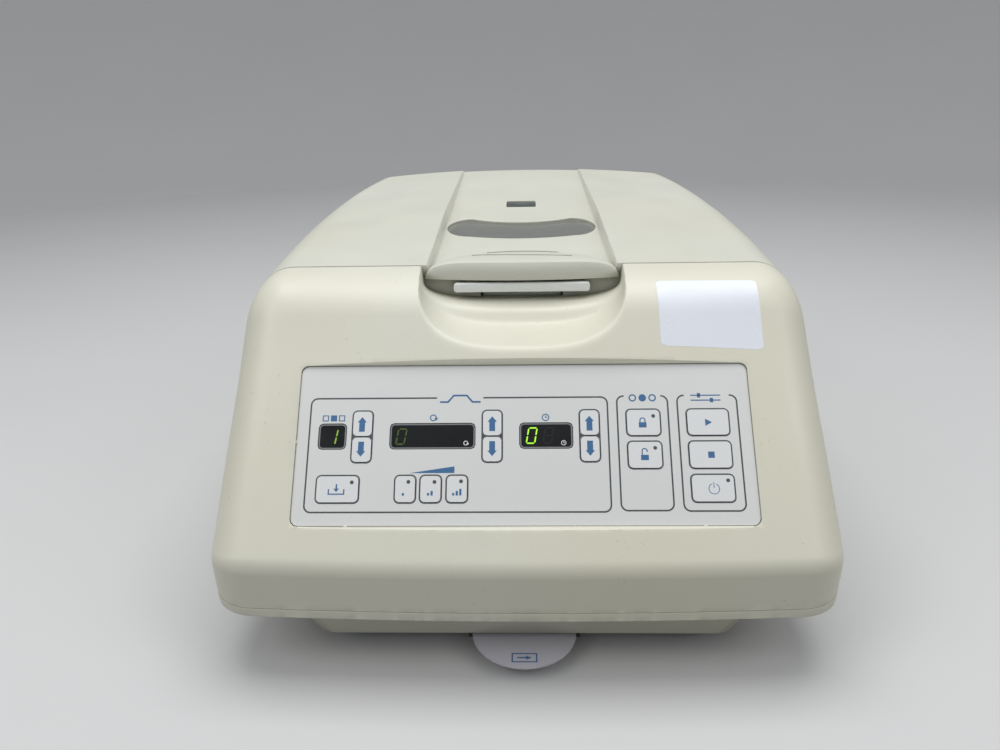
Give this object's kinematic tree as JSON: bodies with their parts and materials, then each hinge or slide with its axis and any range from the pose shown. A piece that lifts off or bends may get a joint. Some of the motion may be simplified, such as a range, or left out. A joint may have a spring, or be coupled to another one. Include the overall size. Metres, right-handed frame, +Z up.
{
  "type": "cytocentrifuge",
  "caption": "Bench cytocentrifuge: wedge casing with sloping key panel, hinged lid with window and latch lever, spinning sealed head, slide-out card.",
  "frame": {"origin": "centre of the bounding box's footprint, on the surface the feet stand on", "axes": "+X to the right of someone facing the panel, +Y to the rear, +Z up"},
  "size_m": [0.3944, 0.5656, 0.249],
  "materials": {
    "casing": "fine textured cream plastic",
    "lid_casing": "fine textured cream plastic",
    "panel": "satin printed film",
    "keys": "satin printed film",
    "latch": "smooth white",
    "rubber": "matt",
    "display": "dark glossy lens",
    "window": "smoked clear plastic",
    "steel": "brushed",
    "dark_metal": "semi-gloss",
    "aluminium": "satin",
    "circuit_board": "lacquered board",
    "black_plastic": "fine texture",
    "card": "smooth laminated"
  },
  "bodies": {
    "base": {"base_tray": "casing", "upper_case": "casing", "front_left_foot": "rubber", "front_right_foot": "rubber", "rear_left_foot": "rubber", "rear_right_foot": "rubber", "card_guide": "black_plastic", "rear_panel": "aluminium", "power_inlet": "black_plastic", "main_board": "circuit_board", "transformer": "dark_metal", "lock_solenoid": "dark_metal", "control_panel": "panel", "keypad_board": "circuit_board", "program_display": "display", "speed_display": "display", "time_display": "display", "lid_locked_lamp": "keys", "lid_open_lamp": "keys", "chamber_bowl": "steel", "bowl_seal": "rubber", "motor_housing": "dark_metal", "motor_plate": "aluminium", "motor_damper_1": "rubber", "motor_damper_2": "rubber", "motor_damper_3": "rubber", "left_hinge_bracket": "steel", "right_hinge_bracket": "steel", "left_hinge_pin": "steel", "right_hinge_pin": "steel"},
    "lid": {"lid_cover": "lid_casing", "lid_liner": "casing", "lid_window": "window", "speed_port_window": "window", "left_hinge_arm": "steel", "right_hinge_arm": "steel"},
    "latch_lever": {"latch_lever": "latch"},
    "head": {"drive_shaft": "steel", "rotor_base": "aluminium", "rotor_carrier": "black_plastic"},
    "head_lid": {"rotor_lid": "aluminium", "rotor_knob": "black_plastic"},
    "lock_bolt": {"lock_bolt": "steel"},
    "power_rocker": {"power_rocker": "black_plastic"},
    "fuse_drawer": {"fuse_drawer": "black_plastic"},
    "program_card": {"program_card": "card"},
    "program_up_key": {"program_up_key": "keys"},
    "program_down_key": {"program_down_key": "keys"},
    "speed_up_key": {"speed_up_key": "keys"},
    "speed_down_key": {"speed_down_key": "keys"},
    "time_up_key": {"time_up_key": "keys"},
    "time_down_key": {"time_down_key": "keys"},
    "save_key": {"save_key": "keys"},
    "slow_ramp_key": {"slow_ramp_key": "keys"},
    "medium_ramp_key": {"medium_ramp_key": "keys"},
    "fast_ramp_key": {"fast_ramp_key": "keys"},
    "start_key": {"start_key": "keys"},
    "stop_key": {"stop_key": "keys"},
    "power_key": {"power_key": "keys"}
  },
  "joints": [
    {"name": "lid_hinge", "type": "hinge", "parent": "base", "child": "lid", "pos_m": [0, 0.272, 0.161], "axis": [-1, 0, 0], "range_deg": [0, 68]},
    {"name": "latch_lever_hinge", "type": "hinge", "parent": "lid", "child": "latch_lever", "pos_m": [0, -0.1295, 0.194], "axis": [-1, 0, 0], "range_deg": [0, 6], "stiffness_Nm_per_rad": 0.6, "springref_deg": -11.46},
    {"name": "head_spin", "type": "hinge", "parent": "base", "child": "head", "pos_m": [0, 0.05, 0.1], "axis": [0, 0, 1], "continuous": true},
    {"name": "head_lid_lift", "type": "slide", "parent": "head", "child": "head_lid", "axis": [0, 0, 1], "range_m": [0, 0.028]},
    {"name": "lock_bolt_slide", "type": "slide", "parent": "base", "child": "lock_bolt", "axis": [0, 1, 0], "range_m": [0, 0.008], "stiffness_N_per_m": 120, "springref_m": -0.004},
    {"name": "power_rocker_hinge", "type": "hinge", "parent": "base", "child": "power_rocker", "pos_m": [0.006, 0.2778, 0.095], "axis": [1, 0, 0], "range_deg": [0, 14]},
    {"name": "fuse_drawer_slide", "type": "slide", "parent": "base", "child": "fuse_drawer", "axis": [0, 1, 0], "range_m": [0, 0.02]},
    {"name": "program_card_slide", "type": "slide", "parent": "base", "child": "program_card", "axis": [0, -1, 0], "range_m": [0, 0.15]},
    {"name": "program_up_key_press", "type": "slide", "parent": "base", "child": "program_up_key", "axis": [0, 0.7832, -0.6218], "range_m": [0, 0.0004], "stiffness_N_per_m": 1200, "springref_m": -0.0003},
    {"name": "program_down_key_press", "type": "slide", "parent": "base", "child": "program_down_key", "axis": [0, 0.7832, -0.6218], "range_m": [0, 0.0004], "stiffness_N_per_m": 1200, "springref_m": -0.0003},
    {"name": "speed_up_key_press", "type": "slide", "parent": "base", "child": "speed_up_key", "axis": [0, 0.7832, -0.6218], "range_m": [0, 0.0004], "stiffness_N_per_m": 1200, "springref_m": -0.0003},
    {"name": "speed_down_key_press", "type": "slide", "parent": "base", "child": "speed_down_key", "axis": [0, 0.7832, -0.6218], "range_m": [0, 0.0004], "stiffness_N_per_m": 1200, "springref_m": -0.0003},
    {"name": "time_up_key_press", "type": "slide", "parent": "base", "child": "time_up_key", "axis": [0, 0.7832, -0.6218], "range_m": [0, 0.0004], "stiffness_N_per_m": 1200, "springref_m": -0.0003},
    {"name": "time_down_key_press", "type": "slide", "parent": "base", "child": "time_down_key", "axis": [0, 0.7832, -0.6218], "range_m": [0, 0.0004], "stiffness_N_per_m": 1200, "springref_m": -0.0003},
    {"name": "save_key_press", "type": "slide", "parent": "base", "child": "save_key", "axis": [0, 0.7832, -0.6218], "range_m": [0, 0.0004], "stiffness_N_per_m": 1200, "springref_m": -0.0003},
    {"name": "slow_ramp_key_press", "type": "slide", "parent": "base", "child": "slow_ramp_key", "axis": [0, 0.7832, -0.6218], "range_m": [0, 0.0004], "stiffness_N_per_m": 1200, "springref_m": -0.0003},
    {"name": "medium_ramp_key_press", "type": "slide", "parent": "base", "child": "medium_ramp_key", "axis": [0, 0.7832, -0.6218], "range_m": [0, 0.0004], "stiffness_N_per_m": 1200, "springref_m": -0.0003},
    {"name": "fast_ramp_key_press", "type": "slide", "parent": "base", "child": "fast_ramp_key", "axis": [0, 0.7832, -0.6218], "range_m": [0, 0.0004], "stiffness_N_per_m": 1200, "springref_m": -0.0003},
    {"name": "start_key_press", "type": "slide", "parent": "base", "child": "start_key", "axis": [0, 0.7832, -0.6218], "range_m": [0, 0.0004], "stiffness_N_per_m": 1200, "springref_m": -0.0003},
    {"name": "stop_key_press", "type": "slide", "parent": "base", "child": "stop_key", "axis": [0, 0.7832, -0.6218], "range_m": [0, 0.0004], "stiffness_N_per_m": 1200, "springref_m": -0.0003},
    {"name": "power_key_press", "type": "slide", "parent": "base", "child": "power_key", "axis": [0, 0.7832, -0.6218], "range_m": [0, 0.0004], "stiffness_N_per_m": 1200, "springref_m": -0.0003}
  ]
}
